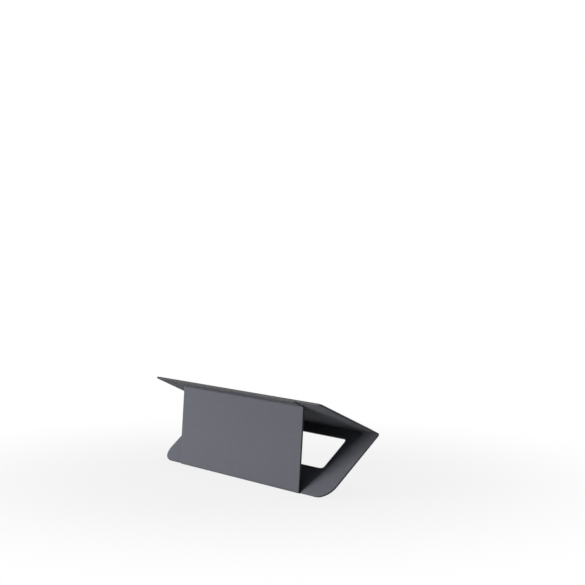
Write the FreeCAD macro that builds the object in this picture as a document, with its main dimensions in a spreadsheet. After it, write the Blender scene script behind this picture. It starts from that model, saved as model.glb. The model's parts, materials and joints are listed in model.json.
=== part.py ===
import FreeCAD, Part
import Sketcher
import os

# Folding adhesive stand of board and leather panels, opened to its working angle.
# Row frame in millimetres: X runs along the folds, +Y to the front, -Y to the back panel, +Z up.
# The origin is the centre of the sticky face on top of the plate.
# Four fold lines make a closed loop in the side view: rear, front, knee and foot.
# Each panel's inner face lies a small clearance outside the line between its two folds.

doc = FreeCAD.newDocument("FoldingStand")

sizes = doc.addObject("Spreadsheet::Sheet", "Sizes")
driving_dimensions = {
    "tilt_angle": 25,
    "stand_width": 228,
    "plate_run": 51.5,
    "leg_length": 66.6,
    "back_length": 65,
    "rear_margin": 12,
    "back_width": 165,
    "window_gap": 3,
    "header_depth": 8,
    "panel_thickness": 1.5,
    "pad_thickness": 0.4,
    "pad_inset": 1.5,
    "flange_thickness": 0.7,
    "fold_setback": 1.2,
    "fold_side_gap": 0.5,
    "face_clearance": 0.2,
    "foot_corner": 13.5,
    "knee_flare": 4,
    "window_corner": 4,
    "plate_corner": 3,
}
for row, (alias, value) in enumerate(driving_dimensions.items(), start=1):
    sizes.set(f"A{row}", alias)
    sizes.set(f"B{row}", str(value))
    sizes.setAlias(f"B{row}", alias)
doc.recompute()


def size(alias):
    return f"Sizes.{alias}"


def corner_angle(side_a, side_b, opposite):
    # Law of cosines for the triangle that the rear, front and foot folds make.
    a, b, c = size(side_a), size(side_b), size(opposite)
    return f"acos(({a}^2 + {b}^2 - {c}^2) / (2 * {a} * {b}))"


TILT = f"{size('tilt_angle')} * 1 deg"
FRONT_ANGLE = corner_angle("plate_run", "leg_length", "back_length")
REAR_ANGLE = corner_angle("plate_run", "back_length", "leg_length")
FOOT_ANGLE = corner_angle("leg_length", "back_length", "plate_run")

# Each panel's local Y points along it, and local Z out of the loop.
PLATE_TURN = f"-({TILT})"
LEG_TURN = f"180 deg - {TILT} + {FRONT_ANGLE}"
BACK_TURN = f"180 deg - {TILT} - {REAR_ANGLE}"

# The bar below the knee is as deep as lets the loop fold flat in two layers.
BAR_DEPTH = f"(({size('plate_run')} + {size('leg_length')} - {size('back_length')}) / 2)"
ARM_LENGTH = f"({size('leg_length')} - {BAR_DEPTH})"
WINDOW_WIDTH = f"({size('back_width')} + 2 * {size('window_gap')})"
PLATE_FRONT = f"({size('plate_run')} - {size('fold_setback')})"
PLATE_MIDDLE = f"(({PLATE_FRONT} - {size('rear_margin')}) / 2)"
TOP_RISE = f"({size('face_clearance')} + {size('panel_thickness')} + {size('pad_thickness')})"

# Places of the folds in the side view, worked out from the origin.
REAR_Y = f"(-{PLATE_MIDDLE} * cos({TILT}) - {TOP_RISE} * sin({TILT}))"
REAR_Z = f"({PLATE_MIDDLE} * sin({TILT}) - {TOP_RISE} * cos({TILT}))"
FRONT_Y = f"({REAR_Y} + {size('plate_run')} * cos({TILT}))"
FRONT_Z = f"({REAR_Z} - {size('plate_run')} * sin({TILT}))"
FOOT_Y = f"({FRONT_Y} + {size('leg_length')} * cos({LEG_TURN}))"
FOOT_Z = f"({FRONT_Z} + {size('leg_length')} * sin({LEG_TURN}))"
KNEE_Y = f"({FRONT_Y} + {ARM_LENGTH} * cos({LEG_TURN}))"
KNEE_Z = f"({FRONT_Z} + {ARM_LENGTH} * sin({LEG_TURN}))"

# The feet reach past the foot fold's line as far as brings them level with the underside of its round.
FOLD_RADIUS = f"({size('face_clearance')} + {size('panel_thickness')})"
FOOT_REACH = f"({FOLD_RADIUS} * (1 + cos({LEG_TURN})) / -sin({LEG_TURN}))"

X_AXIS = FreeCAD.Vector(1, 0, 0)


def place(item, y, z, turn):
    item.Placement = FreeCAD.Placement(FreeCAD.Vector(), FreeCAD.Rotation(X_AXIS, 1))
    item.setExpression(".Placement.Base.y", f"({y}) * 1 mm")
    item.setExpression(".Placement.Base.z", f"({z}) * 1 mm")
    item.setExpression(".Placement.Rotation.Angle", turn)


def origin_plane(body, role):
    return next(item for item in body.Origin.OriginFeatures if item.Role == role)


def panel(label, outline, y, z, turn, bottom=None, thickness=None):
    # A flat panel from a closed outline of (x, y) expressions, padded out of the loop.
    body = doc.addObject("PartDesign::Body", label)
    body.Label = label
    sketch = body.newObject("Sketcher::SketchObject", f"{label}_outline")
    sketch.AttachmentSupport = [(origin_plane(body, "XY_Plane"), "")]
    sketch.MapMode = "FlatFace"
    sketch.setExpression(".AttachmentOffset.Base.z", f"({bottom or size('face_clearance')}) * 1 mm")
    count = len(outline)
    corners = [FreeCAD.Vector(*(value_of(term) for term in corner), 0) for corner in outline]
    for index in range(count):
        sketch.addGeometry(Part.LineSegment(corners[index], corners[(index + 1) % count]), False)
    for index in range(count):
        sketch.addConstraint(Sketcher.Constraint("Coincident", index, 2, (index + 1) % count, 1))
    for index, terms in enumerate(outline):
        for kind, term in zip(("DistanceX", "DistanceY"), terms):
            number = sketch.addConstraint(Sketcher.Constraint(kind, -1, 1, index, 1, value_of(term)))
            sketch.setExpression(f"Constraints[{number}]", f"({term}) * 1 mm")
    pad = body.newObject("PartDesign::Pad", f"{label}_pad")
    pad.Profile = sketch
    pad.setExpression("Length", f"({thickness or size('panel_thickness')}) * 1 mm")
    place(body, y, z, turn)
    doc.recompute()
    return body


def value_of(term):
    return float(sizes.evalExpression(term))


def upright_edge(shape, x, y):
    # The edge through the thickness that stands at a corner of the outline.
    for number, edge in enumerate(shape.Edges, start=1):
        ends = [vertex.Point for vertex in edge.Vertexes]
        if all(abs(end.x - x) < 1e-6 and abs(end.y - y) < 1e-6 for end in ends):
            return f"Edge{number}"
    raise ValueError(f"no edge at {x}, {y}")


def round_corners(body, name, corners, radius):
    base = body.Tip
    edges = [upright_edge(base.Shape, value_of(x), value_of(y)) for x, y in corners]
    fillet = body.newObject("PartDesign::Fillet", f"{body.Label}_{name}")
    fillet.Base = (base, edges)
    fillet.setExpression("Radius", f"{size(radius)} * 1 mm")
    doc.recompute()
    return fillet


HALF_WIDTH = f"({size('stand_width')} / 2)"
HALF_BACK = f"({size('back_width')} / 2)"
HALF_WINDOW = f"({WINDOW_WIDTH} / 2)"
SETBACK = size("fold_setback")


def make_plate():
    # The panel that carries the sticky sheet, from its rear edge to the front fold.
    rear = f"(-{size('rear_margin')})"
    outline = [
        (f"-{HALF_WIDTH}", rear),
        (HALF_WIDTH, rear),
        (HALF_WIDTH, PLATE_FRONT),
        (f"-{HALF_WIDTH}", PLATE_FRONT),
    ]
    body = panel("adhesive_plate", outline, REAR_Y, REAR_Z, PLATE_TURN)
    round_corners(body, "rear_corners", outline[:2], "plate_corner")
    return body


def make_pad():
    # The sticky sheet on the plate's upper face.
    inset = size("pad_inset")
    side = f"({HALF_WIDTH} - {inset})"
    rear = f"({inset} - {size('rear_margin')})"
    front = f"({PLATE_FRONT} - {inset})"
    outline = [(f"-{side}", rear), (side, rear), (side, front), (f"-{side}", front)]
    plate_top = f"{size('face_clearance')} + {size('panel_thickness')}"
    body = panel("adhesive_pad", outline, REAR_Y, REAR_Z, PLATE_TURN, plate_top, size("pad_thickness"))
    round_corners(body, "corners", outline, "plate_corner")
    return body


def make_leg_frame():
    # The upper part of the front leg: a header along the fold and an arm down each side.
    knee_end = f"({ARM_LENGTH} - {SETBACK})"
    header_end = f"({SETBACK} + {size('header_depth')})"
    outline = [
        (f"-{HALF_WIDTH}", SETBACK),
        (HALF_WIDTH, SETBACK),
        (HALF_WIDTH, knee_end),
        (HALF_WINDOW, knee_end),
        (HALF_WINDOW, header_end),
        (f"-{HALF_WINDOW}", header_end),
        (f"-{HALF_WINDOW}", knee_end),
        (f"-{HALF_WIDTH}", knee_end),
    ]
    body = panel("leg_frame", outline, FRONT_Y, FRONT_Z, LEG_TURN)
    round_corners(body, "window_corners", outline[4:6], "window_corner")
    return body


def make_foot_bar():
    # The lower part of the front leg, with a shallow notch where the foot fold sits.
    top = f"({ARM_LENGTH} + {SETBACK})"
    end = f"({size('leg_length')} + {FOOT_REACH})"
    notch_end = f"({size('leg_length')} - {SETBACK})"
    notch_side = f"({HALF_BACK} + {size('fold_side_gap')})"
    outline = [
        (f"-{HALF_WIDTH}", top),
        (HALF_WIDTH, top),
        (HALF_WIDTH, end),
        (notch_side, end),
        (notch_side, notch_end),
        (f"-{notch_side}", notch_end),
        (f"-{notch_side}", end),
        (f"-{HALF_WIDTH}", end),
    ]
    body = panel("foot_bar", outline, FRONT_Y, FRONT_Z, LEG_TURN)
    round_corners(body, "foot_corners", [outline[2], outline[7]], "foot_corner")
    return body


def make_back_panel():
    # The strut that stands behind, from the foot fold up to the rear fold.
    top = f"({size('back_length')} - {SETBACK})"
    outline = [(f"-{HALF_BACK}", SETBACK), (HALF_BACK, SETBACK), (HALF_BACK, top), (f"-{HALF_BACK}", top)]
    return panel("back_panel", outline, FOOT_Y, FOOT_Z, BACK_TURN)


def strip(name, width, start, length, low, thickness, turn="0 deg"):
    # A flat strip of leather beside a fold, turned about the fold line.
    box = doc.addObject("Part::Box", name)
    box.setExpression("Length", f"{width} * 1 mm")
    box.setExpression("Width", f"({length}) * 1 mm")
    box.setExpression("Height", f"({thickness}) * 1 mm")
    y = f"({start}) * cos({turn}) - ({low}) * sin({turn})"
    z = f"({start}) * sin({turn}) + ({low}) * cos({turn})"
    place(box, y, z, turn)
    box.setExpression(".Placement.Base.x", f"-{width} / 2 * 1 mm")
    return box


def roll(name, width, turn):
    # The round of a fold, from the first panel's outward side to the second's.
    cylinder = doc.addObject("Part::Cylinder", name)
    cylinder.setExpression("Radius", f"{FOLD_RADIUS} * 1 mm")
    cylinder.setExpression("Height", f"{width} * 1 mm")
    cylinder.setExpression("Angle", turn)
    cylinder.Placement = FreeCAD.Placement(FreeCAD.Vector(), FreeCAD.Rotation(0, -90, 0))
    cylinder.setExpression(".Placement.Base.x", f"{width} / 2 * 1 mm")
    return cylinder


def join(label, pieces, y, z, turn):
    fused = doc.addObject("Part::MultiFuse", label)
    fused.Label = label
    fused.Shapes = pieces
    fused.Refine = True
    place(fused, y, z, turn)
    doc.recompute()
    return fused


def make_round_fold(label, width, angle, y, z, first_turn):
    # Leather that carries one panel round to the next on the outside of the loop.
    turn = f"(180 deg - {angle})"
    low = size("face_clearance")
    thickness = size("panel_thickness")
    pieces = [
        strip(f"{label}_first", width, f"-{SETBACK}", SETBACK, low, thickness),
        roll(f"{label}_roll", width, turn),
        strip(f"{label}_second", width, "0", SETBACK, low, thickness, f"(-{turn})"),
    ]
    return join(label, pieces, y, z, first_turn)


def make_rear_fold():
    # A flange glued under the plate's rear margin, and the leather that turns from it down the back panel.
    width = size("back_width")
    low = size("face_clearance")
    margin = size("rear_margin")
    flange = size("flange_thickness")
    turn = f"(180 deg - {REAR_ANGLE})"
    reach = f"({SETBACK} + {low} / sin({REAR_ANGLE}))"
    pieces = [
        strip("rear_fold_flange", width, f"-{margin}", margin, f"{low} - {flange}", flange),
        strip("rear_fold_drop", width, f"-{SETBACK}", reach, low, size("panel_thickness"), turn),
    ]
    return join("rear_fold", pieces, REAR_Y, REAR_Z, PLATE_TURN)


def make_knee_fold(label, side):
    # The bend of one arm where the bar folds back under it, flared into the window's lower corner.
    start = f"({ARM_LENGTH} - {SETBACK})"
    end = f"({ARM_LENGTH} + {SETBACK})"
    inner = f"({side} * {HALF_WINDOW})"
    flare = f"({side} * ({HALF_WINDOW} - {size('knee_flare')}))"
    outer = f"({side} * {HALF_WIDTH})"
    outline = [(inner, start), (outer, start), (outer, end), (flare, end)]
    return panel(label, outline, FRONT_Y, FRONT_Z, LEG_TURN)


sub_parts = [
    make_plate(),
    make_pad(),
    make_leg_frame(),
    make_foot_bar(),
    make_back_panel(),
    make_round_fold("front_fold", size("stand_width"), FRONT_ANGLE, FRONT_Y, FRONT_Z, PLATE_TURN),
    make_round_fold("foot_fold", size("back_width"), FOOT_ANGLE, FOOT_Y, FOOT_Z, LEG_TURN),
    make_rear_fold(),
    make_knee_fold("left_knee_fold", -1),
    make_knee_fold("right_knee_fold", 1),
]
doc.recompute()

failed = [item.Name for item in doc.Objects if "Invalid" in item.State or "Error" in item.State]
if failed:
    raise RuntimeError(f"objects that failed: {failed}")
for part in sub_parts:
    if part.Shape.isNull() or not part.Shape.isValid():
        raise RuntimeError(f"bad shape: {part.Label}")

for name, (y, z) in {
    "rear fold": (REAR_Y, REAR_Z),
    "front fold": (FRONT_Y, FRONT_Z),
    "knee fold": (KNEE_Y, KNEE_Z),
    "foot fold": (FOOT_Y, FOOT_Z),
}.items():
    print(f"{name}: y {value_of(y):.4f}, z {value_of(z):.4f}")

os.makedirs("parts", exist_ok=True)
for part in sub_parts:
    box = part.Shape.BoundBox
    print(f"{part.Label}: {box.XLength:.2f} x {box.YLength:.2f} x {box.ZLength:.2f}, {part.Shape.Volume:.0f} mm3")
    part.Shape.exportStep(f"parts/{part.Label}.step")
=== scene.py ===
import json
import math
import bpy
import bmesh
from mathutils import Matrix, Vector


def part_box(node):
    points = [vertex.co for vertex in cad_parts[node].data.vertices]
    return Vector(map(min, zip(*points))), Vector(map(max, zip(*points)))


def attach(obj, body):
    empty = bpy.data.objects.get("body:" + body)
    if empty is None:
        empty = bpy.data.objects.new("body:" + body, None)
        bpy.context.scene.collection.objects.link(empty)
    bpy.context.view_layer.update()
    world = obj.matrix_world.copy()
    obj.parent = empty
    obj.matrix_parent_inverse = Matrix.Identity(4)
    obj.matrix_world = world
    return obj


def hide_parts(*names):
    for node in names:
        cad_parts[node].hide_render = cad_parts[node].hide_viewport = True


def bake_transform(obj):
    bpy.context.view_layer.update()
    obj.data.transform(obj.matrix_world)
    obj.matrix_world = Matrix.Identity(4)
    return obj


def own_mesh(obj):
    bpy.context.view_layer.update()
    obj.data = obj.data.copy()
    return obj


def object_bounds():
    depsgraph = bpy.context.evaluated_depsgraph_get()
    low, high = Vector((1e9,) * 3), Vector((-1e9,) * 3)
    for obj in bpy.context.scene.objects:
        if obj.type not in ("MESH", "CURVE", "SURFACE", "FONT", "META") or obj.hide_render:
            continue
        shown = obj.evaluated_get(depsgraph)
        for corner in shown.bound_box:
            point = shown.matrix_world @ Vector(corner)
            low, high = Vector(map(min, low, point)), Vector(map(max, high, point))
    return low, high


# A folding adhesive stand in matte grey leather over thin boards, opened to its working angle.
# Everything is in metres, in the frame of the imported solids.

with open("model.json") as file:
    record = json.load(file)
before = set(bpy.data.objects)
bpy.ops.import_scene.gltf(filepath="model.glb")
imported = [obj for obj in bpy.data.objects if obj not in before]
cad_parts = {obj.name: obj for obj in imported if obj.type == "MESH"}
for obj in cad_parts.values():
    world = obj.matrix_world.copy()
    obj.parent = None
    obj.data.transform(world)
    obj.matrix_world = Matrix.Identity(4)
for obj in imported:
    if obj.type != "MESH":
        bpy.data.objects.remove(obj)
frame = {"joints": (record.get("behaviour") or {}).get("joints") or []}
cad_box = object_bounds()
MM = 0.001

# Sizes that the solids were drawn with.
PANEL_THICKNESS = 1.5 * MM
FACE_CLEARANCE = 0.2 * MM
FOLD_SETBACK = 1.2 * MM
FLANGE_THICKNESS = 0.7 * MM
PAD_THICKNESS = 0.4 * MM
REAR_MARGIN = 12 * MM
LEG_LENGTH = 66.6 * MM
HEADER_DEPTH = 8 * MM
WINDOW_GAP = 3 * MM
FOLD_SIDE_GAP = 0.5 * MM
FOOT_CORNER = 13.5 * MM
KNEE_FLARE = 4 * MM
WINDOW_CORNER = 4 * MM
PLATE_CORNER = 3 * MM
PAD_INSET = 1.5 * MM
OUTER_FACE = FACE_CLEARANCE + PANEL_THICKNESS

HALF_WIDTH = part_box("adhesive_plate")[1].x
HALF_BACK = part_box("back_panel")[1].x
HALF_WINDOW = HALF_BACK + WINDOW_GAP

# How the leather rolls over at the panels' rims, and the bead of paint along the cut edges.
RIM_ROLL = 0.22 * MM
RIM_DIP = 0.07 * MM
RIM_REACH = 0.9 * MM
RIM_SHARE = 0.36
EDGE_BULGE = 0.16 * MM
EDGE_SINK = 0.12 * MM

# The rear hem: how softly it turns down, and the ripples that pressing left along the turn,
# each as its length for one radian, its shift and its share of the height.
HEM_EASE = 0.9 * MM
HEM_WAVE = 0.10 * MM
HEM_WAVE_REACH = 0.07
HEM_RIPPLES = [(9.1 * MM, 0.6, 1.0), (4.3 * MM, 1.9, 0.7)]

# How finely the meshes are divided.
ROLL_STEPS = 4
CORNER_STEPS = 14
FOLD_STEPS = 18
HEM_EASE_STEPS = 8
HEM_SPANS = 90
EDGE_SIDES = 16

# Two sides whose directions differ by less than this sine count as one smooth run.
SMOOTH_RUN = 0.05
# A length as short as this is only rounding.
ROUNDING = 1e-12

# Grey leather. A scale says how many features there are to a metre.
LEATHER_DARK = (0.147, 0.151, 0.176)
LEATHER_LIGHT = (0.168, 0.173, 0.200)
LEATHER_ROUGHNESS = (0.70, 0.82)
LEATHER_SPECULAR = 0.11
SHEEN_WEIGHT = 0.05
SHEEN_ROUGHNESS = 0.5
MOTTLE_SCALE = 38
PEBBLE_SCALE = 1350
PEBBLE_DOME = 0.32
PEBBLE_STRAY = 0.7 * MM
PEBBLE_STRAY_SCALE = 420
# The creases between the pebbles are painted darker as painted shade: how wide that band is, and how
# dark.
CREASE_WIDTH = 0.14
CREASE_PAINTED_SHADE = 0.80
PORE_SCALE = 5200
PORE_SHARE = 0.3
GRAIN_STRENGTH = 0.5
GRAIN_DEPTH = 0.13 * MM

# How deep the edge paint and the sticky sheet are textured.
COAT_DEPTH = 0.1 * MM
# Noise mostly stays between these two values.
NOISE_SPAN = (0.3, 0.7)

# The view: where the camera stands, how it is turned in radians, and its focal length in pixels
# of a square picture.
CAMERA_AT = Vector((922.80, -684.23, 149.22)) * MM
CAMERA_YAW = -0.909970
CAMERA_DROP = 0.0512511
CAMERA_ROLL = 0.00584538
FOCAL_PIXELS = 1404.72
PICTURE_PIXELS = 585
SENSOR_MM = 36.0
NEAREST_SEEN = 10 * MM

# Soft lights: name, place, what each points at, width and height, and watts.
SOFTBOXES = [
    ("rear_softbox", (-0.74, -1.33, 0.40), (0, -0.02, -0.03), (0.9, 0.6), 22),
    ("front_softbox", (0.3, 1.5, 0.2), (0, 0.02, -0.03), (0.9, 0.6), 14),
    ("top_softbox", (-0.2, 0.1, 1.6), (0, 0, -0.03), (1.6, 1.6), 15),
]
AMBIENT = 0.06
WHITE = (1, 1, 1, 1)
FULL_WHITE = 1.0

# The floor: its own greys, and how it goes over into white with the distance from the stand.
FLOOR_DARK = (0.29, 0.29, 0.29)
FLOOR_LIGHT = (0.31, 0.31, 0.31)
FLOOR_CLOUD_SCALE = 9
FLOOR_ROUGHNESS = 0.8
FLOOR_SPECULAR = 0.1
FLOOR_REACH = 6.0
FLOOR_LIFT = 0.85
FADE_FROM = 0.10
FADE_TO = 0.38


class Place:
    # A panel's own axes: x along the folds, along the panel, and out of the folded loop.
    def __init__(self, origin, along):
        self.origin = Vector(origin)
        self.along = Vector(along).normalized()
        self.out = Vector((1, 0, 0)).cross(self.along)

    def at(self, x, along, out):
        return self.origin + Vector((x, 0, 0)) + along * self.along + out * self.out

    def matrix(self):
        columns = (Vector((1, 0, 0)), self.along, self.out)
        turn = Matrix([[column[row] for column in columns] for row in range(3)])
        return Matrix.Translation(self.origin) @ turn.to_4x4()

    def moved(self, origin):
        return Place(origin, self.along)


def turn_between(first, second):
    # How far the outward side swings from one panel to the next, round the outside of the fold.
    return first.out.angle(second.out)


joint_at = {joint["name"]: Vector(joint["pos_m"]) for joint in frame["joints"]}
REAR = joint_at["back_fold"]
FRONT = joint_at["frame_fold"]
KNEE = joint_at["knee_fold"]
ARM_LENGTH = (KNEE - FRONT).length
PLATE_RUN = (FRONT - REAR).length
PLATE = Place(REAR, FRONT - REAR)
LEG = Place(FRONT, KNEE - FRONT)
FOOT = LEG.at(0, LEG_LENGTH, 0)
BACK = Place(FOOT, REAR - FOOT)
BACK_TOP = BACK.moved(REAR)
BACK_LENGTH = (REAR - FOOT).length
FRONT_TURN = turn_between(PLATE, LEG)
FOOT_TURN = turn_between(LEG, BACK)
# The feet reach past the foot fold's line to stand level with the underside of its round.
FOOT_REACH = OUTER_FACE * (1 + LEG.out.z) / -LEG.along.z


def node_tree(owner):
    owner.use_nodes = True
    tree = owner.node_tree
    tree.nodes.clear()
    return tree


def add(tree, kind, **settings):
    node = tree.nodes.new(kind)
    for name, value in settings.items():
        setattr(node, name, value)
    return node


def set_inputs(node, values):
    for name, value in values.items():
        node.inputs[name].default_value = value


def object_coordinates(tree):
    return add(tree, "ShaderNodeTexCoord").outputs["Object"]


def colour_blend(tree, factor, first, second):
    mix = add(tree, "ShaderNodeMix", data_type="RGBA")
    tree.links.new(factor, mix.inputs["Factor"])
    set_inputs(mix, {"A": (*first, 1), "B": (*second, 1)})
    return mix.outputs["Result"]


def remap(tree, value, span, new_span, interpolation="LINEAR"):
    node = add(tree, "ShaderNodeMapRange", interpolation_type=interpolation)
    tree.links.new(value, node.inputs["Value"])
    set_inputs(node, {"From Min": span[0], "From Max": span[1]})
    set_inputs(node, {"To Min": new_span[0], "To Max": new_span[1]})
    return node.outputs["Result"]


def combine(tree, operation, first, second):
    node = add(tree, "ShaderNodeMath", operation=operation)
    tree.links.new(first, node.inputs[0])
    tree.links.new(second, node.inputs[1])
    return node.outputs["Value"]


def choose_shader(tree, factor, first, second):
    node = add(tree, "ShaderNodeMixShader")
    tree.links.new(factor, node.inputs["Fac"])
    tree.links.new(first, node.inputs[1])
    tree.links.new(second, node.inputs[2])
    return node.outputs["Shader"]


def noise(tree, coordinates, scale, detail=3.0, roughness=0.55):
    node = add(tree, "ShaderNodeTexNoise")
    set_inputs(node, {"Scale": scale, "Detail": detail, "Roughness": roughness})
    tree.links.new(coordinates, node.inputs["Vector"])
    return node


def raised(tree, height, strength, depth):
    bump = add(tree, "ShaderNodeBump")
    set_inputs(bump, {"Strength": strength, "Distance": depth})
    tree.links.new(height, bump.inputs["Height"])
    return bump.outputs["Normal"]


def finish_surface(tree, colour, roughness, normal, settings):
    shader = add(tree, "ShaderNodeBsdfPrincipled")
    set_inputs(shader, settings)
    tree.links.new(colour, shader.inputs["Base Color"])
    tree.links.new(roughness, shader.inputs["Roughness"])
    tree.links.new(normal, shader.inputs["Normal"])
    output = add(tree, "ShaderNodeOutputMaterial")
    tree.links.new(shader.outputs["BSDF"], output.inputs["Surface"])


def pebble_distance(tree, coordinates):
    # How far a point lies from the crease round its pebble. The pebbles stray from an even pattern.
    stray = noise(tree, coordinates, PEBBLE_STRAY_SCALE, detail=2.0, roughness=0.5)
    strayed = add(tree, "ShaderNodeVectorMath", operation="MULTIPLY_ADD")
    tree.links.new(stray.outputs["Color"], strayed.inputs[0])
    strayed.inputs[1].default_value = (PEBBLE_STRAY, PEBBLE_STRAY, PEBBLE_STRAY)
    tree.links.new(coordinates, strayed.inputs[2])
    pebbles = add(tree, "ShaderNodeTexVoronoi", feature="DISTANCE_TO_EDGE")
    set_inputs(pebbles, {"Scale": PEBBLE_SCALE})
    tree.links.new(strayed.outputs["Vector"], pebbles.inputs["Vector"])
    return pebbles.outputs["Distance"]


def leather_material():
    # Matte bluish grey imitation leather: fine pebbles, painted shade that darkens the creases between
    # them, and a slow mottle.
    material = bpy.data.materials.new("grey_leather")
    tree = node_tree(material)
    coordinates = object_coordinates(tree)
    distance = pebble_distance(tree, coordinates)
    pores = noise(tree, coordinates, PORE_SCALE, detail=2.0)
    height = add(tree, "ShaderNodeMath", operation="MULTIPLY_ADD")
    tree.links.new(pores.outputs["Fac"], height.inputs[0])
    height.inputs[1].default_value = PORE_SHARE
    tree.links.new(remap(tree, distance, (0.0, PEBBLE_DOME), (0.0, 1.0)), height.inputs[2])
    normal = raised(tree, height.outputs["Value"], GRAIN_STRENGTH, GRAIN_DEPTH)
    mottle = noise(tree, coordinates, MOTTLE_SCALE, detail=4.0).outputs["Fac"]
    # Painted shade: the colour is darkened in the creases between the pebbles.
    crease_painted_shade = remap(tree, distance, (0.0, CREASE_WIDTH), (CREASE_PAINTED_SHADE, 1.0))
    crease = add(tree, "ShaderNodeCombineColor")
    for channel in ("Red", "Green", "Blue"):
        tree.links.new(crease_painted_shade, crease.inputs[channel])
    creased = add(tree, "ShaderNodeMix", data_type="RGBA", blend_type="MULTIPLY")
    set_inputs(creased, {"Factor": 1.0})
    tree.links.new(colour_blend(tree, mottle, LEATHER_DARK, LEATHER_LIGHT), creased.inputs["A"])
    tree.links.new(crease.outputs["Color"], creased.inputs["B"])
    roughness = remap(tree, mottle, NOISE_SPAN, LEATHER_ROUGHNESS)
    gloss = {
        "Specular IOR Level": LEATHER_SPECULAR,
        "Sheen Weight": SHEEN_WEIGHT,
        "Sheen Roughness": SHEEN_ROUGHNESS,
    }
    finish_surface(tree, creased.outputs["Result"], roughness, normal, gloss)
    return material


def coat_material(name, dark, light, cloud_scale, roughness, bump_scale, bump_strength, specular):
    # A thin coat whose colour, gloss and surface wander a little.
    material = bpy.data.materials.new(name)
    tree = node_tree(material)
    coordinates = object_coordinates(tree)
    cloud = noise(tree, coordinates, cloud_scale, detail=4.0).outputs["Fac"]
    height = noise(tree, coordinates, bump_scale).outputs["Fac"]
    normal = raised(tree, height, bump_strength, COAT_DEPTH)
    colour = colour_blend(tree, cloud, dark, light)
    gloss = {"Specular IOR Level": specular}
    finish_surface(tree, colour, remap(tree, cloud, NOISE_SPAN, roughness), normal, gloss)
    return material


LEATHER = leather_material()
EDGE_PAINT = coat_material(
    "edge_paint", dark=(0.011, 0.011, 0.013), light=(0.022, 0.022, 0.025), cloud_scale=900,
    roughness=(0.42, 0.58), bump_scale=2400, bump_strength=0.2, specular=0.4)
STICKY = coat_material(
    "sticky_sheet", dark=(0.046, 0.047, 0.051), light=(0.053, 0.054, 0.059), cloud_scale=160,
    roughness=(0.54, 0.57), bump_scale=1500, bump_strength=0.25, specular=0.25)


def new_object(name, data):
    item = bpy.data.objects.new(name, data)
    bpy.context.scene.collection.objects.link(item)
    return item


def piece_from(bm, name, materials):
    mesh = bpy.data.meshes.new(name)
    bmesh.ops.recalc_face_normals(bm, faces=bm.faces)
    bm.to_mesh(mesh)
    bm.free()
    for material in materials:
        mesh.materials.append(material)
    return new_object(name, mesh)


def shade(face, smooth):
    # A face that isn't smooth is flat, with a hard edge all round it.
    face.smooth = smooth
    if not smooth:
        for edge in face.edges:
            edge.smooth = False


def rounded(corners):
    # A closed outline from (x, along, radius, joined) corners, as (point, joined) pairs.
    # A corner with a radius is drawn as an arc. Joined says that a fold carries on from the
    # side that starts there, so that side has no rim.
    outline = []
    count = len(corners)
    for index, (x, y, radius, joined) in enumerate(corners):
        corner = Vector((x, y))
        if radius == 0:
            outline.append((corner, joined))
            continue
        before = (Vector(corners[index - 1][:2]) - corner).normalized()
        after = (Vector(corners[(index + 1) % count][:2]) - corner).normalized()
        half = before.angle(after) / 2
        centre = corner + (before + after).normalized() * (radius / math.sin(half))
        start = corner + before * (radius / math.tan(half)) - centre
        end = corner + after * (radius / math.tan(half)) - centre
        sweep = start.angle_signed(end)
        for step in range(CORNER_STEPS + 1):
            spoke = start.copy()
            spoke.rotate(Matrix.Rotation(-sweep * step / CORNER_STEPS, 2))
            outline.append((centre + spoke, joined and step == CORNER_STEPS))
    return outline


def inset(outline, depth):
    # The outline moved inwards by depth, square to each side that has a rim.
    moved = []
    count = len(outline)
    for index, (point, joined_after) in enumerate(outline):
        point_before, joined_before = outline[index - 1]
        before = (point - point_before).normalized()
        after = (outline[(index + 1) % count][0] - point).normalized()
        left_before = Vector((-before.y, before.x))
        left_after = Vector((-after.y, after.x))
        depth_before = 0 if joined_before else depth
        depth_after = 0 if joined_after else depth
        turn_sine = left_before.x * left_after.y - left_before.y * left_after.x
        if abs(turn_sine) < SMOOTH_RUN:
            middle = (left_before + left_after).normalized()
            shift = middle * (min(depth_before, depth_after) / middle.dot(left_before))
        else:
            shift = Vector((depth_before * left_after.y - depth_after * left_before.y,
                            depth_after * left_before.x - depth_before * left_after.x)) / turn_sine
        moved.append(point + shift)
    return moved


def rim_profile(thickness):
    # How far in and how far down a face lies, from its cut edge to the flat, less on a thin sheet.
    slight = min(1.0, RIM_SHARE * thickness / (RIM_DIP + RIM_ROLL))
    roll = RIM_ROLL * slight
    dip = RIM_DIP * slight
    steps = [math.pi / 2 * (1 - step / ROLL_STEPS) for step in range(ROLL_STEPS + 1)]
    rolled = [(roll * (1 - math.sin(a)), dip + roll * (1 - math.cos(a))) for a in steps]
    return rolled + [(RIM_REACH, 0.0)]


def panel_body(name, place, corners, low, high, face_material):
    # A flat panel whose faces dip a little towards a rolled rim.
    outline = rounded(corners)
    rim = rim_profile(high - low)
    rings = [(depth, low + dip) for depth, dip in reversed(rim)]
    rings += [(depth, high - dip) for depth, dip in rim]
    bm = bmesh.new()
    loops = []
    for depth, out in rings:
        loops.append([bm.verts.new(place.at(p.x, p.y, out)) for p in inset(outline, depth)])
    side_row = len(rim) - 1
    for row, (first, second) in enumerate(zip(loops, loops[1:])):
        for index in range(len(first)):
            after = (index + 1) % len(first)
            face = bm.faces.new((first[index], first[after], second[after], second[index]))
            face.material_index = 1 if row == side_row else 0
            joined = outline[index][1]
            shade(face, row != side_row and not joined)
    bm.faces.new(list(reversed(loops[0])))
    bm.faces.new(loops[-1])
    return piece_from(bm, name, [face_material, EDGE_PAINT])


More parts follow.
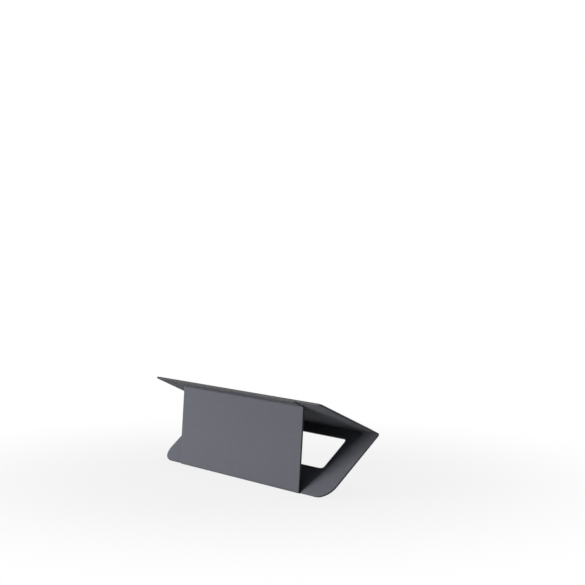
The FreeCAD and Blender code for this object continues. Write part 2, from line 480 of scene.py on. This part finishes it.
def edge_paint_tree():
    # Sweeps a flat oval bead of paint round a panel's outline.
    tree = bpy.data.node_groups.new("edge_paint_bead", "GeometryNodeTree")
    tree.is_modifier = True
    sockets = [
        ("Outline", "INPUT", "NodeSocketGeometry"),
        ("Half height", "INPUT", "NodeSocketFloat"),
        ("Bulge", "INPUT", "NodeSocketFloat"),
        ("Paint", "INPUT", "NodeSocketMaterial"),
        ("Bead", "OUTPUT", "NodeSocketGeometry"),
    ]
    for name, way, kind in sockets:
        tree.interface.new_socket(name, in_out=way, socket_type=kind)
    inputs = add(tree, "NodeGroupInput")
    outline = add(tree, "GeometryNodeMeshToCurve")
    upright = add(tree, "GeometryNodeSetCurveNormal", mode="Z_UP")
    oval = add(tree, "GeometryNodeCurvePrimitiveCircle", mode="RADIUS")
    set_inputs(oval, {"Resolution": EDGE_SIDES, "Radius": 1})
    shape = add(tree, "ShaderNodeCombineXYZ")
    set_inputs(shape, {"Z": 1})
    flatten = add(tree, "GeometryNodeTransform")
    sweep = add(tree, "GeometryNodeCurveToMesh")
    set_inputs(sweep, {"Fill Caps": True})
    whole = add(tree, "GeometryNodeRealizeInstances")
    painted = add(tree, "GeometryNodeSetMaterial")
    output = add(tree, "NodeGroupOutput")
    links = [
        (inputs.outputs["Outline"], outline.inputs["Mesh"]),
        (outline.outputs["Curve"], upright.inputs["Curve"]),
        (inputs.outputs["Bulge"], shape.inputs["X"]),
        (inputs.outputs["Half height"], shape.inputs["Y"]),
        (oval.outputs["Curve"], flatten.inputs["Geometry"]),
        (shape.outputs["Vector"], flatten.inputs["Scale"]),
        (upright.outputs["Curve"], sweep.inputs["Curve"]),
        (flatten.outputs["Geometry"], sweep.inputs["Profile Curve"]),
        (sweep.outputs["Mesh"], whole.inputs["Geometry"]),
        (whole.outputs["Geometry"], painted.inputs["Geometry"]),
        (inputs.outputs["Paint"], painted.inputs["Material"]),
        (painted.outputs["Geometry"], output.inputs["Bead"]),
    ]
    for source, target in links:
        tree.links.new(source, target)
    return tree


BEAD_TREE = edge_paint_tree()


def edge_bead(name, place, corners, low, high):
    # The painted cut edge of a panel, as a bead that follows its free sides.
    outline = rounded(corners)
    sunk = inset(outline, EDGE_SINK)
    free_sides = [index for index, (point, joined) in enumerate(outline) if not joined]
    path = bpy.data.meshes.new(f"{name}_path")
    edges = [(index, (index + 1) % len(sunk)) for index in free_sides]
    path.from_pydata([(p.x, p.y, 0) for p in sunk], edges, [])
    guide = new_object(f"{name}_guide", path)
    modifier = guide.modifiers.new("bead", "NODES")
    modifier.node_group = BEAD_TREE
    sizes = {"Half height": (high - low) / 2 - RIM_DIP, "Bulge": EDGE_BULGE, "Paint": EDGE_PAINT}
    for item in BEAD_TREE.interface.items_tree:
        if item.in_out == "INPUT" and item.name in sizes:
            modifier[item.identifier] = sizes[item.name]
    evaluated = guide.evaluated_get(bpy.context.evaluated_depsgraph_get())
    mesh = bpy.data.meshes.new_from_object(evaluated)
    bpy.data.objects.remove(guide)
    mesh.name = name
    mesh.transform(place.matrix() @ Matrix.Translation((0, 0, (low + high) / 2)))
    mesh.materials.clear()
    mesh.materials.append(EDGE_PAINT)
    for polygon in mesh.polygons:
        polygon.use_smooth = True
    return new_object(name, mesh)


def no_wave(x, share):
    return 0.0


def fold_body(name, outer, inner, ends, spans=1, wave=no_wave):
    # Leather round a fold: two matching profiles in the side view, run between two ends in x.
    # ends gives the low and high x for a share of the way along the profile. wave gives how far
    # the outer side stands off its profile at a place in x and a share of the way along.
    rim = rim_profile(min((a - b).length for a, b in zip(outer, inner)))
    first_end, last_end = ends(0)
    middle = last_end - first_end - 2 * RIM_REACH
    stations = [(0, depth, dip) for depth, dip in rim]
    stations += [(0, RIM_REACH + middle * step / spans, 0.0) for step in range(1, spans)]
    stations += [(1, -depth, dip) for depth, dip in reversed(rim)]
    count = len(outer)
    bm = bmesh.new()

    def grid(profile, other, stand_off):
        rows = []
        for side, depth, dip in stations:
            row = []
            for index, point in enumerate(profile):
                share = index / (count - 1)
                x = ends(share)[side] + depth
                sunk = point + (other[index] - point).normalized() * (dip - stand_off(x, share))
                row.append(bm.verts.new((x, sunk.y, sunk.z)))
            rows.append(row)
        return rows

    def quads(first, second, material_index, smooth):
        for index in range(len(first) - 1):
            face = bm.faces.new((first[index], first[index + 1], second[index + 1], second[index]))
            face.material_index = material_index
            shade(face, smooth)

    outer_rows = grid(outer, inner, wave)
    inner_rows = grid(inner, outer, no_wave)
    for rows in (outer_rows, inner_rows):
        for first, second in zip(rows, rows[1:]):
            quads(first, second, 0, True)
    for row in (0, -1):
        quads(outer_rows[row], inner_rows[row], 1, False)
    for index in (0, -1):
        quads([row[index] for row in outer_rows], [row[index] for row in inner_rows], 1, False)
    return piece_from(bm, name, [LEATHER, EDGE_PAINT])


def spread(points, count):
    # The same path drawn again with count evenly spaced points.
    lengths = [0.0]
    for first, second in zip(points, points[1:]):
        lengths.append(lengths[-1] + (second - first).length)
    result = []
    for step in range(count):
        goal = lengths[-1] * step / (count - 1)
        index = max(i for i in range(len(points) - 1) if lengths[i] <= goal + ROUNDING)
        span = lengths[index + 1] - lengths[index]
        share = 0 if span == 0 else (goal - lengths[index]) / span
        result.append(points[index].lerp(points[index + 1], share))
    return result


def arc_round(centre, first_out, radius, turn_from, turn_to):
    # Points on the outside of a fold, swung about x from the first panel's outward side.
    points = []
    for step in range(FOLD_STEPS + 1):
        angle = turn_from + (turn_to - turn_from) * step / FOLD_STEPS
        spoke = Matrix.Rotation(-angle, 3, "X") @ first_out
        points.append(centre + radius * spoke)
    return points


def straight_ends(half_width):
    return lambda share: (-half_width, half_width)


def round_fold(name, centre, first, second, turn_from, turn_to, half_width):
    # Leather bent round the outside of a fold, with a flat strip on each panel that it reaches.
    first_end = first.moved(centre)
    second_end = second.moved(centre)
    full_turn = turn_between(first, second)
    profiles = []
    for radius in (OUTER_FACE, FACE_CLEARANCE):
        points = []
        if turn_from == 0:
            points += [first_end.at(0, -FOLD_SETBACK, radius)]
            points += [first_end.at(0, -FOLD_SETBACK / 2, radius)]
        points += arc_round(centre, first.out, radius, turn_from, turn_to)
        if turn_to >= full_turn:
            points += [second_end.at(0, FOLD_SETBACK / 2, radius)]
            points += [second_end.at(0, FOLD_SETBACK, radius)]
        profiles.append(points)
    return fold_body(name, profiles[0], profiles[1], straight_ends(half_width))


def knee_strip(name, side):
    # The short strip where an arm bends over the foot bar, rounded into the window's corner.
    profiles = []
    for out in (OUTER_FACE, FACE_CLEARANCE):
        start = LEG.at(0, ARM_LENGTH - FOLD_SETBACK, out)
        end = LEG.at(0, ARM_LENGTH + FOLD_SETBACK, out)
        profiles.append([start.lerp(end, step / FOLD_STEPS) for step in range(FOLD_STEPS + 1)])

    def ends(share):
        near = HALF_WINDOW - KNEE_FLARE * (1 - math.sqrt(1 - share ** 2))
        return (near, HALF_WIDTH) if side > 0 else (-HALF_WIDTH, -near)

    return fold_body(name, profiles[0], profiles[1], ends)


def rear_hem(name):
    # The flap stuck under the plate's rear margin, turned down into the back panel.
    flap_low = FACE_CLEARANCE - FLANGE_THICKNESS
    lean = BACK_TOP.along.dot(PLATE.out)
    meet = (flap_low - OUTER_FACE * BACK_TOP.out.dot(PLATE.out)) / lean
    corner = BACK_TOP.at(0, meet, OUTER_FACE)
    before = corner - HEM_EASE * PLATE.along
    after = corner - HEM_EASE * BACK_TOP.along
    outer = [PLATE.at(0, -REAR_MARGIN, flap_low), before]
    for step in range(1, HEM_EASE_STEPS + 1):
        share = step / HEM_EASE_STEPS
        outer.append(before.lerp(corner, share).lerp(corner.lerp(after, share), share))
    outer.append(BACK_TOP.at(0, -FOLD_SETBACK, OUTER_FACE))
    inner = [PLATE.at(0, -REAR_MARGIN, FACE_CLEARANCE), PLATE.at(0, 0, FACE_CLEARANCE)]
    inner += [BACK_TOP.at(0, 0, FACE_CLEARANCE), BACK_TOP.at(0, -FOLD_SETBACK, FACE_CLEARANCE)]
    count = 2 * FOLD_STEPS + 1
    turn_share = REAR_MARGIN / (REAR_MARGIN + FOLD_SETBACK)

    def wave(x, share):
        # Where the leather turns down it was pressed by hand, so it swells and pinches a little.
        near = math.exp(-((share - turn_share) / HEM_WAVE_REACH) ** 2)
        swell = sum(part * math.sin(x / length + shift) for length, shift, part in HEM_RIPPLES)
        return HEM_WAVE * near * swell

    ends = straight_ends(HALF_BACK)
    return fold_body(name, spread(outer, count), spread(inner, count), ends, HEM_SPANS, wave)


def plate_corners():
    low = -REAR_MARGIN
    high = PLATE_RUN - FOLD_SETBACK
    return [(-HALF_WIDTH, low, PLATE_CORNER, False), (HALF_WIDTH, low, PLATE_CORNER, False),
            (HALF_WIDTH, high, 0, True), (-HALF_WIDTH, high, 0, False)]


def pad_corners():
    low = -REAR_MARGIN + PAD_INSET
    high = PLATE_RUN - FOLD_SETBACK - PAD_INSET
    half = HALF_WIDTH - PAD_INSET
    corners = [(-half, low), (half, low), (half, high), (-half, high)]
    return [(x, along, PLATE_CORNER, False) for x, along in corners]


def leg_corners():
    low = FOLD_SETBACK
    rail = FOLD_SETBACK + HEADER_DEPTH
    high = ARM_LENGTH - FOLD_SETBACK
    return [(-HALF_WIDTH, low, 0, True), (HALF_WIDTH, low, 0, False),
            (HALF_WIDTH, high, 0, True), (HALF_WINDOW, high, 0, False),
            (HALF_WINDOW, rail, WINDOW_CORNER, False), (-HALF_WINDOW, rail, WINDOW_CORNER, False),
            (-HALF_WINDOW, high, 0, True), (-HALF_WIDTH, high, 0, False)]


def bar_corners():
    low = ARM_LENGTH + FOLD_SETBACK
    high = LEG_LENGTH + FOOT_REACH
    notch = LEG_LENGTH - FOLD_SETBACK
    half_notch = HALF_BACK + FOLD_SIDE_GAP
    sill = HALF_WINDOW - KNEE_FLARE
    return [(-HALF_WIDTH, low, 0, True), (-sill, low, 0, False), (RIM_REACH - sill, low, 0, False),
            (sill - RIM_REACH, low, 0, False), (sill, low, 0, True),
            (HALF_WIDTH, low, 0, False), (HALF_WIDTH, high, FOOT_CORNER, False),
            (half_notch, high, 0, False), (half_notch, notch, 0, True),
            (-half_notch, notch, 0, False), (-half_notch, high, 0, False),
            (-HALF_WIDTH, high, FOOT_CORNER, False)]


def back_corners():
    low = FOLD_SETBACK
    high = BACK_LENGTH - FOLD_SETBACK
    return [(-HALF_BACK, low, 0, True), (HALF_BACK, low, 0, False),
            (HALF_BACK, high, 0, True), (-HALF_BACK, high, 0, False)]


def fit(piece, body, slot, *nodes):
    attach(piece, body)
    if nodes:
        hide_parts(*nodes)


def fit_bend(piece, node):
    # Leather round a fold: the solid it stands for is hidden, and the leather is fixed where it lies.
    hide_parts(node)
    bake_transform(piece)


def make_panels():
    panels = [
        ("plate", "adhesive_plate", PLATE, plate_corners()),
        ("leg", "leg_frame", LEG, leg_corners()),
        ("bar", "foot_bar", LEG, bar_corners()),
        ("back", "back_panel", BACK, back_corners()),
    ]
    for body, node, place, corners in panels:
        leather = panel_body(f"{body}_leather", place, corners, FACE_CLEARANCE, OUTER_FACE, LEATHER)
        fit(leather, body, "leather", node)
        bead = edge_bead(f"{body}_edge_paint", place, corners, FACE_CLEARANCE, OUTER_FACE)
        fit(bead, body, "leather")


def make_sticky_sheet():
    top = OUTER_FACE + PAD_THICKNESS
    sheet = panel_body("sticky_sheet_body", PLATE, pad_corners(), OUTER_FACE, top, STICKY)
    fit(sheet, "plate", "adhesive", "adhesive_pad")


def make_front_fold():
    fold = round_fold("front_fold_leather", FRONT, PLATE, LEG, 0, FRONT_TURN, HALF_WIDTH)
    start = PLATE.moved(FRONT).at(0, -FOLD_SETBACK, 0)
    fit_bend(fold, "front_fold")


def make_rear_hem():
    hem = rear_hem("rear_hem_leather")
    start = BACK_TOP.at(0, 0, 0)
    end = BACK_TOP.at(0, -FOLD_SETBACK, 0)
    fit_bend(hem, "rear_fold")


def make_knee_folds():
    for side, node in ((-1, "left_knee_fold"), (1, "right_knee_fold")):
        strip = knee_strip(f"{node}_leather", side)
        fit_bend(strip, node)


def make_foot_fold():
    # Two halves, one on each panel, because no joint holds the loop of folds together here.
    # Folded flat, the two halves of the round draw in so that they meet at the fold line.
    middle = FOOT_TURN / 2
    back_half = round_fold("foot_fold_back_half", FOOT, LEG, BACK, middle, FOOT_TURN, HALF_BACK)
    fit(back_half, "back", "leather", "foot_fold")
    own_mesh(back_half)
    bar_half = round_fold("foot_fold_bar_half", FOOT, LEG, BACK, 0, middle, HALF_BACK)
    fit(bar_half, "bar", "leather")
    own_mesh(bar_half)


def make_camera():
    ahead = Vector((math.sin(CAMERA_YAW) * math.cos(CAMERA_DROP),
                    math.cos(CAMERA_YAW) * math.cos(CAMERA_DROP),
                    -math.sin(CAMERA_DROP)))
    level_right = Vector((math.cos(CAMERA_YAW), -math.sin(CAMERA_YAW), 0))
    level_up = level_right.cross(ahead)
    right = level_right * math.cos(CAMERA_ROLL) + level_up * math.sin(CAMERA_ROLL)
    up = level_up * math.cos(CAMERA_ROLL) - level_right * math.sin(CAMERA_ROLL)
    lens = bpy.data.cameras.new("camera")
    lens.sensor_width = SENSOR_MM
    lens.lens = SENSOR_MM * FOCAL_PIXELS / PICTURE_PIXELS
    lens.clip_start = NEAREST_SEEN
    camera = new_object("camera", lens)
    turn = Matrix([[right[row], up[row], -ahead[row]] for row in range(3)])
    camera.matrix_world = Matrix.Translation(CAMERA_AT) @ turn.to_4x4()
    bpy.context.scene.camera = camera


def make_light(name, at, aim, size, watts):
    light = bpy.data.lights.new(name, "AREA")
    light.shape = "RECTANGLE"
    light.size = size[0]
    light.size_y = size[1]
    light.energy = watts
    lamp = new_object(name, light)
    lamp.location = at
    lamp.rotation_euler = (Vector(aim) - Vector(at)).to_track_quat("-Z", "Y").to_euler()


def seen_directly(tree):
    # 1 for rays that show a surface itself, from the camera or by a mirror or glass; 0 for light.
    paths = add(tree, "ShaderNodeLightPath")
    seen = paths.outputs["Is Camera Ray"]
    for name in ("Is Glossy Ray", "Is Transmission Ray"):
        seen = combine(tree, "MAXIMUM", seen, paths.outputs[name])
    return seen


def floor_material():
    # A pale floor with the shadow near the object, which goes over into the white backdrop.
    material = bpy.data.materials.new("pale_floor")
    tree = node_tree(material)
    coordinates = object_coordinates(tree)
    cloud = noise(tree, coordinates, FLOOR_CLOUD_SCALE).outputs["Fac"]
    surface = add(tree, "ShaderNodeBsdfPrincipled")
    set_inputs(surface, {"Roughness": FLOOR_ROUGHNESS, "Specular IOR Level": FLOOR_SPECULAR})
    tree.links.new(colour_blend(tree, cloud, FLOOR_DARK, FLOOR_LIGHT), surface.inputs["Base Color"])
    white = add(tree, "ShaderNodeEmission")
    set_inputs(white, {"Strength": FULL_WHITE})
    distance = add(tree, "ShaderNodeVectorMath", operation="LENGTH")
    tree.links.new(coordinates, distance.inputs[0])
    fade = remap(tree, distance.outputs["Value"], (FADE_FROM, FADE_TO), (FLOOR_LIFT, 1.0), "SMOOTHSTEP")
    share = combine(tree, "MULTIPLY", fade, seen_directly(tree))
    lifted = choose_shader(tree, share, surface.outputs["BSDF"], white.outputs["Emission"])
    # From below the floor is clear, so that the underside can be looked at.
    clear = add(tree, "ShaderNodeBsdfTransparent")
    below = add(tree, "ShaderNodeNewGeometry").outputs["Backfacing"]
    output = add(tree, "ShaderNodeOutputMaterial")
    sided = choose_shader(tree, below, lifted, clear.outputs["BSDF"])
    tree.links.new(sided, output.inputs["Surface"])
    return material


def make_floor(height):
    corners = [(-FLOOR_REACH, -FLOOR_REACH), (FLOOR_REACH, -FLOOR_REACH),
               (FLOOR_REACH, FLOOR_REACH), (-FLOOR_REACH, FLOOR_REACH)]
    mesh = bpy.data.meshes.new("floor")
    mesh.from_pydata([(x, y, height) for x, y in corners], [], [(0, 1, 2, 3)])
    mesh.materials.append(floor_material())
    floor = new_object("floor", mesh)


def white_background(tree, strength):
    background = add(tree, "ShaderNodeBackground")
    set_inputs(background, {"Color": WHITE, "Strength": strength})
    return background.outputs["Background"]


def make_backdrop():
    # White where it is seen, with only a little light of its own on the object.
    world = bpy.data.worlds.new("studio")
    bpy.context.scene.world = world
    tree = node_tree(world)
    ambient = white_background(tree, AMBIENT)
    backdrop = white_background(tree, FULL_WHITE)
    output = add(tree, "ShaderNodeOutputWorld")
    chosen = choose_shader(tree, seen_directly(tree), ambient, backdrop)
    tree.links.new(chosen, output.inputs["Surface"])


make_panels()
make_sticky_sheet()
make_front_fold()
make_rear_hem()
make_knee_folds()
make_foot_fold()
make_floor(cad_box[0].z)
for softbox in SOFTBOXES:
    make_light(*softbox)
make_backdrop()
make_camera()
bpy.context.scene.view_settings.view_transform = "Standard"
